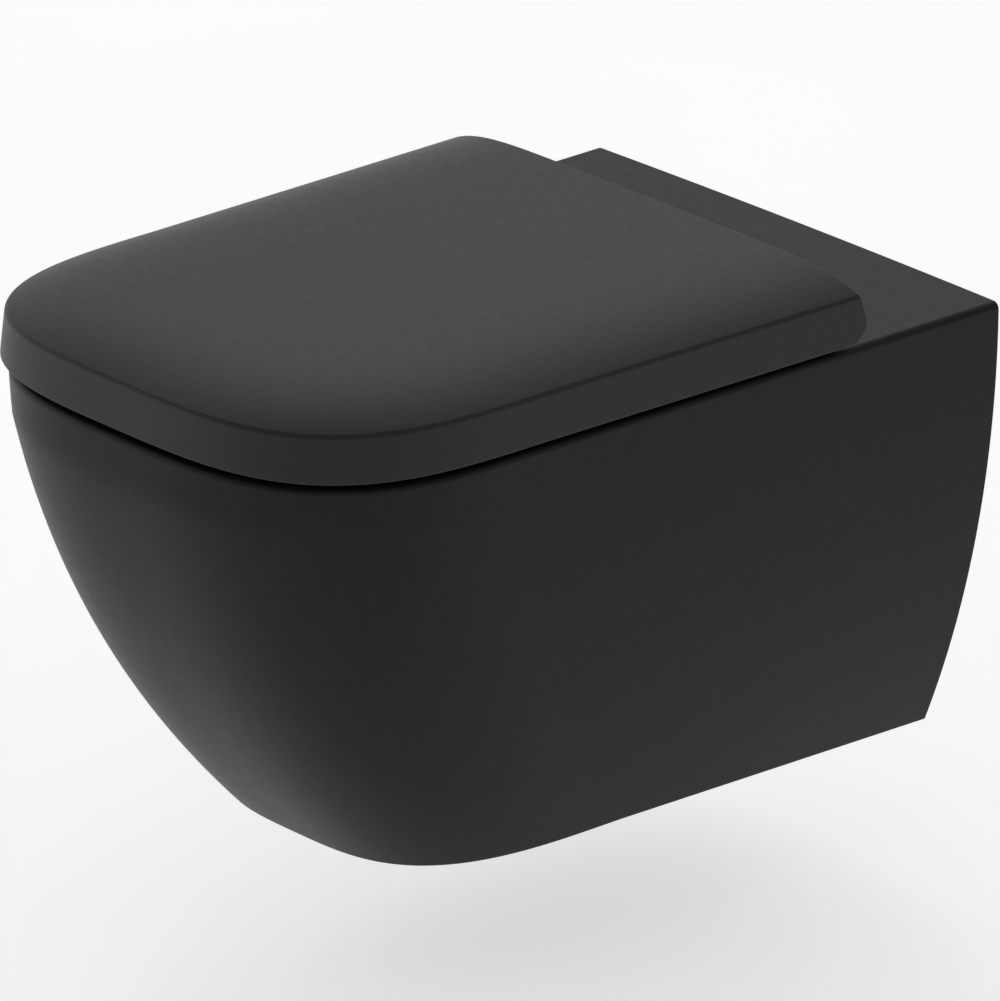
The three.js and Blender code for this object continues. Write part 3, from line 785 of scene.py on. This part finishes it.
SEAT_INSET = 11 * MM  # seat edge inside the foot of the cover's skirt
SEAT_REAR = -151.5 * MM
OPENING_HALF = 108 * MM
OPENING_FRONT = -388 * MM  # middle of the opening's round front end
OPENING_REAR = -312 * MM


def seat_outside():
    quarter = [math.pi / 2 * k / 8 for k in range(9)]
    low_edge, top_rise, top_draw = 1.6 * MM, 7 * MM, 9 * MM
    levels = [(SEAT_LOW.z + low_edge * (1 - math.cos(a)), low_edge * (1 - math.sin(a))) for a in quarter]
    shoulder = SEAT_HIGH.z - top_rise
    levels += [(SEAT_LOW.z + low_edge + (shoulder - SEAT_LOW.z - low_edge) * k / 6, 0) for k in range(1, 6)]
    levels += [(shoulder + top_rise * math.sin(a), top_draw * (1 - math.cos(a))) for a in quarter]
    rings = []
    for z, draw in levels:
        outline = cover_plan(COVER_LOW.z, SEAT_INSET + draw, SEAT_REAR - draw / 2)
        rings.append(at_height(outline, z))
    bm, rows = open_loft(rings)
    grid_cap(bm, rows[0])
    grid_cap(bm, rows[-1])
    return new_object("ring", bm)


def seat_opening():
    """Cutter for the opening: its upper edge falls away gently and its lower edge is broken."""
    top_round, top_spread, low_round = 9 * MM, 13 * MM, 2 * MM
    reach = MM
    steps = 32
    rings = []
    for k in range(steps + 1):
        z = SEAT_LOW.z - reach + (SEAT_HIGH.z - SEAT_LOW.z + 2 * reach) * k / steps
        up = min(max(1 - (SEAT_HIGH.z - z) / top_round, 0), 1)
        down = min(max(1 - (z - SEAT_LOW.z) / low_round, 0), 1)
        spread = top_spread * (1 - math.sqrt(1 - up ** 2)) + low_round * (1 - math.sqrt(1 - down ** 2))
        half = OPENING_HALF + spread
        rings.append(at_height(oval_plan(half, OPENING_FRONT - half, OPENING_REAR + half, 2.3), z))
    return new_object("opening", loft(rings))


def seat():
    steps = take_away(seat_opening())
    arm = [
        (SEAT_REAR - 6 * MM, SEAT_LOW.z + 1.5 * MM),
        *arc(AXIS_Y, AXIS_Z, LUG, -90, 90),
        (SEAT_REAR - 6 * MM, SEAT_HIGH.z - 1.5 * MM),
    ]
    for side in SIDES.values():
        inner, outer = sorted(side * place for place in SEAT_LUG)
        steps += unite(prism(arm, inner, outer, 0.6 * MM))
        steps += take_away(bar(PIN_BORE, (inner - MM, AXIS_Y, AXIS_Z), (outer + MM, AXIS_Y, AXIS_Z)))
    return combine("seat_ring_fine", seat_outside(), steps)


# ---------------------------------------------------------------- hinges

def hinge_block(label):
    low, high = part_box(f"hinge_block_{label}")
    button_low, button_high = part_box(f"release_button_{label}")
    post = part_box(f"hinge_post_{label}")[1]
    middle = (low.x + high.x) / 2
    corner = 1.5 * MM
    outline = [
        (low.y + corner, low.z),
        (high.y - corner, low.z),
        (high.y, low.z + corner),
        *arc(AXIS_Y, AXIS_Z, high.z - AXIS_Z, 0, 155),
        (low.y + corner, RIM + 16.2 * MM),
        (low.y, RIM + 14.4 * MM),
        (low.y, low.z + corner),
    ]
    body = prism(outline, low.x, high.x, 0.8 * MM)
    step = high.x - 24.5 * MM
    ease = 0.3 * MM
    button_space = block(
        (button_low.x - ease, low.y - MM, button_low.z - ease),
        (button_high.x + ease, -131.5 * MM, button_high.z + ease),
    )
    return combine(f"hinge_block_{label}_fine", body, take_away(
        bar(DRUM_BORE, (high.x + MM, AXIS_Y, AXIS_Z), (step, AXIS_Y, AXIS_Z)),
        bar(AXLE_BORE, (step + MM, AXIS_Y, AXIS_Z), (low.x - MM, AXIS_Y, AXIS_Z)),
        bar(POST_BORE, (middle, AXIS_Y, low.z - MM), (middle, AXIS_Y, post.z + 0.4 * MM)),
        button_space,
    ))


def release_button(label):
    low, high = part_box(f"release_button_{label}")
    body = block(low, high, 0.9 * MM)
    grooves = []
    for k in (-1, 0, 1):
        x = (low.x + high.x) / 2 + k * 3 * MM
        grooves.append(bar(0.5 * MM, (x, low.y, low.z + MM), (x, low.y, high.z - MM), 0, 16))
    return combine(f"release_button_{label}_fine", body, take_away(*grooves))


def release_spring(label):
    low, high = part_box(f"release_spring_{label}")
    heart = (low + high) / 2
    wire = 0.3 * MM
    radius = (high.z - low.z) / 2 - wire
    turns, per_turn, sides = 6, 24, 10
    along = Vector((0, 1, 0))
    rings = []
    for k in range(turns * per_turn + 1):
        share = k / (turns * per_turn)
        angle = 2 * math.pi * turns * share
        out = Vector((math.cos(angle), 0, math.sin(angle)))
        y = low.y + wire + share * (high.y - low.y - 2 * wire)
        place = Vector((heart.x, y, heart.z)) + out * radius
        spokes = [2 * math.pi * i / sides for i in range(sides)]
        rings.append([place + (out * math.cos(a) + along * math.sin(a)) * wire for a in spokes])
    return new_object(f"release_spring_{label}_fine", loft(rings))


def compress(spring):
    """Gives a spring a mesh of its own."""
    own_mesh(spring)


def damper(node):
    """Soft-close cartridge: a grooved drum and the spindle that leaves it along +X."""
    low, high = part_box(node)
    length = (high.x - low.x) / MM
    drum, spindle, groove = 6.1, 4, 5.5
    section = [(0, 0), (drum, 0), (drum, 16.9), (groove, 17.4), (groove, 18.8), (drum, 19.3), (drum, 23.5),
               (spindle, 23.5), (spindle, length), (0, length)]
    return turned(f"{node}_fine", section, (low.x, AXIS_Y, AXIS_Z), (1, 0, 0))


def plain_pin(node):
    low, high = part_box(node)
    length = (high.x - low.x) / MM
    section = [(0, 0), (4, 0), (4, length), (0, length)]
    return turned(f"{node}_fine", section, (low.x, AXIS_Y, AXIS_Z), (1, 0, 0), 0.7)


# ---------------------------------------------------------------- turned pieces, in millimetres

def ridges(start, stop, pitch, base, crest):
    """(radius, height) points of rings of V-shaped ridges from one height to another."""
    count = int((stop - start) / pitch)
    points = []
    for k in range(count):
        points += [(base, start + pitch * k), (crest, start + pitch * (k + 0.5))]
    return [*points, (base, start + pitch * count)]


def post_section():
    low, high = [corner.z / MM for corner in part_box("hinge_post_left")]
    plate = high - 9.4
    top = plate + 2
    return [
        (0, low),
        (3.2, low),
        *ridges(low + 0.6, low + 24, 1.25, 3.4, 3.9),
        (3.9, low + 24.5),
        (3.9, plate),
        (17, plate),
        (17, top - 0.9),
        (15.8, top),
        (5, top),
        (5, top + 2),
        (4.1, top + 2.6),
        (4.1, top + 4.2),
        (5, top + 4.8),
        (5, high - 1),
        (4, high),
        (0, high),
    ]


def dowel_section():
    low, high = [corner.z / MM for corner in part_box("hinge_dowel_left")]
    return [(4.2, low), *ridges(low + 1, high - 1, 3, 6.5, 7.2), (6.5, high), (4.2, high)]


def nut_section():
    low, high = [corner.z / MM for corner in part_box("dowel_nut_left")]
    return [(4.2, low), (6.7, low + 1), (7, low + 2), (6, high), (4.2, high)]


def gasket_section():
    low, high = [corner.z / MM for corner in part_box("hinge_gasket_left")]
    return [(5, low), (16.5, low), (16.5, high), (5, high)]


BUSH = [(5.4, -66), (5.4, -5), (10, -5), (10, -136), (8.5, -138), (0, -138), (0, -66)]
SLEEVE = [(10.4, -48), (12.6, -48), (13.1, -44), (13.1, -1), (10.4, -1)]
INLET_SEAL = [(27.2, -46), (27.2, -0.6), (23, -0.6), (20.6, -7), (22.4, -9.5), (20.9, -15), (22.5, -17.5),
              (20.9, -23), (22.5, -26), (22.5, -46)]
OUTLET_SEAL = [(51.3, -26), (53.5, -26), (55.7, -20), (53.7, -17), (55.7, -11), (53.5, -6), (51.3, -6)]
TO_ROOM = (0, 1, 0)


def clamp_place(label):
    """Foot of the slanted clamp bore and its direction upwards."""
    side = SIDES[label]
    foot = Vector((side * FIXING_X, AXIS_Y, 0))
    return foot, (Vector((side * HINGE_X, AXIS_Y, RIM - 20 * MM)) - foot).normalized()


def clamp_screw(label):
    foot, lean = clamp_place(label)
    thread = ridges(12.5, 32, 1.25, 3.5, 4)
    section = [(0, 10.5), (2.6, 10.5), (3.4, 12), *thread, (3.4, 33.4), (3, 34), (0, 34)]
    body = turned("screw", section, foot, lean, 0.15, 48)
    socket = bar(2.3 * MM, foot + lean * 29 * MM, foot + lean * 35 * MM, 0, 6)
    return combine(f"clamp_screw_{label}_fine", body, take_away(socket))


def clamp_insert(label):
    foot, lean = clamp_place(label)
    section = [(4.3, 15), *ridges(15.5, 31.5, 1, 6.3, 6.7), (6.3, 32), (4.3, 32)]
    return turned(f"clamp_insert_{label}_fine", section, foot, lean, 0.15)


def buffer_pad(node):
    """Rubber pad with a sunk middle on its lower face."""
    low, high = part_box(node)
    middle = (low + high) / 2
    height = (high.z - low.z) / MM
    section = [(0, 0.5), (3, 0.5), (3.7, 0), (5.7, 0), (7, 1.2), (7, height), (0, height)]
    return turned(f"{node}_fine", section, (middle.x, middle.y, low.z), edge=0.5, sides=48)


def make_pieces():
    stand_in(pan(), "pan_body")
    stand_in(cover(), "cover")
    stand_in(seat(), "seat_ring")
    for label, side in SIDES.items():
        post = (side * HINGE_X, AXIS_Y, 0)
        fixing = (side * FIXING_X, 0, 0)
        for node, section, start, towards, edge in [
            ("hinge_post", post_section(), post, (0, 0, 1), 0.25),
            ("hinge_gasket", gasket_section(), post, (0, 0, 1), 0.3),
            ("hinge_dowel", dowel_section(), post, (0, 0, 1), 0.4),
            ("dowel_nut", nut_section(), post, (0, 0, 1), 0.4),
            ("anchor_bush", BUSH, fixing, TO_ROOM, 0.5),
            ("fixing_sleeve", SLEEVE, fixing, TO_ROOM, 0.4),
        ]:
            name = f"{node}_{label}"
            stand_in(turned(f"{name}_fine", section, start, towards, edge), name)
        for maker in (hinge_block, release_button, clamp_screw, clamp_insert):
            stand_in(maker(label), f"{maker.__name__}_{label}")
        spring = release_spring(label)
        stand_in(spring, f"release_spring_{label}")
        compress(spring)
    for node in ("seat_damper", "cover_damper"):
        stand_in(damper(node), node)
    for node in ("seat_pin", "cover_pin"):
        stand_in(plain_pin(node), node)
    for node, section, height in [
        ("inlet_seal", INLET_SEAL, INLET_Z),
        ("outlet_seal", OUTLET_SEAL, OUTLET_Z),
    ]:
        stand_in(turned(f"{node}_fine", section, (0, 0, height), TO_ROOM, 0.6, 96), node)
    for node in [name for name in frame["nodes"] if "buffer" in name]:
        stand_in(buffer_pad(node), node)


# ---------------------------------------------------------------- floor, light and camera

def floor():
    bm = bmesh.new()
    bmesh.ops.create_circle(bm, cap_ends=True, radius=40, segments=96)
    bm.transform(Matrix.Translation((0, 0, FLOOR)))
    made = new_object("studio_floor", bm)
    pale = Finish("pale_floor")
    pale.colour(pale.noise(3, 2), (0.86, 0.86, 0.86), (0.88, 0.88, 0.88))
    pale.set(Roughness=0.9, Emission_Color=(1, 1, 1, 1), Emission_Strength=0.5)
    made.data.materials.append(pale.material)


def softbox(name, place, target, size, power):
    data = bpy.data.lights.new(name, "AREA")
    data.shape = "RECTANGLE"
    data.size, data.size_y = size
    data.energy = power
    lamp = bpy.data.objects.new(name, data)
    lamp.location = place
    lamp.rotation_mode = "QUATERNION"
    lamp.rotation_quaternion = (Vector(target) - Vector(place)).to_track_quat("-Z", "Y")
    bpy.context.scene.collection.objects.link(lamp)


def world():
    """Even studio surroundings, dimmer in front of the toilet and to its right than behind its left."""
    sky = bpy.data.worlds.new("studio")
    sky.use_nodes = True
    bpy.context.scene.world = sky
    tree = sky.node_tree
    place = tree.nodes.new("ShaderNodeTexCoord")
    towards = tree.nodes.new("ShaderNodeVectorMath")
    towards.operation = "DOT_PRODUCT"
    towards.inputs[1].default_value = (-0.75, 0.66, 0)
    ramp = tree.nodes.new("ShaderNodeValToRGB")
    for stop, share, shade in zip(ramp.color_ramp.elements, (0.25, 0.55), (0.40, 0.88)):
        stop.position = share
        stop.color = (shade, shade, shade, 1)
    tree.links.new(place.outputs["Generated"], towards.inputs[0])
    tree.links.new(towards.outputs["Value"], ramp.inputs["Fac"])
    tree.links.new(ramp.outputs["Color"], tree.nodes["Background"].inputs["Color"])


def camera():
    data = bpy.data.cameras.new("camera")
    data.sensor_fit = "HORIZONTAL"
    data.sensor_width = 36
    data.lens = 416.9
    data.clip_end = 100
    made = bpy.data.objects.new("camera", data)
    made.location = (4.8913, -4.5390, 2.5774)
    aim = Vector((0.0125, -0.2517, -0.0334))
    made.rotation_mode = "QUATERNION"
    made.rotation_quaternion = (aim - made.location).to_track_quat("-Z", "Y")
    bpy.context.scene.collection.objects.link(made)
    bpy.context.scene.camera = made


# ---------------------------------------------------------------- assembly

bpy.context.scene.view_settings.view_transform = "Standard"
camera()
world()
floor()
softbox("left_light", (-2.6, -2.8, 0.6), (0, -0.3, 0), (2.0, 1.6), 8)
make_pieces()
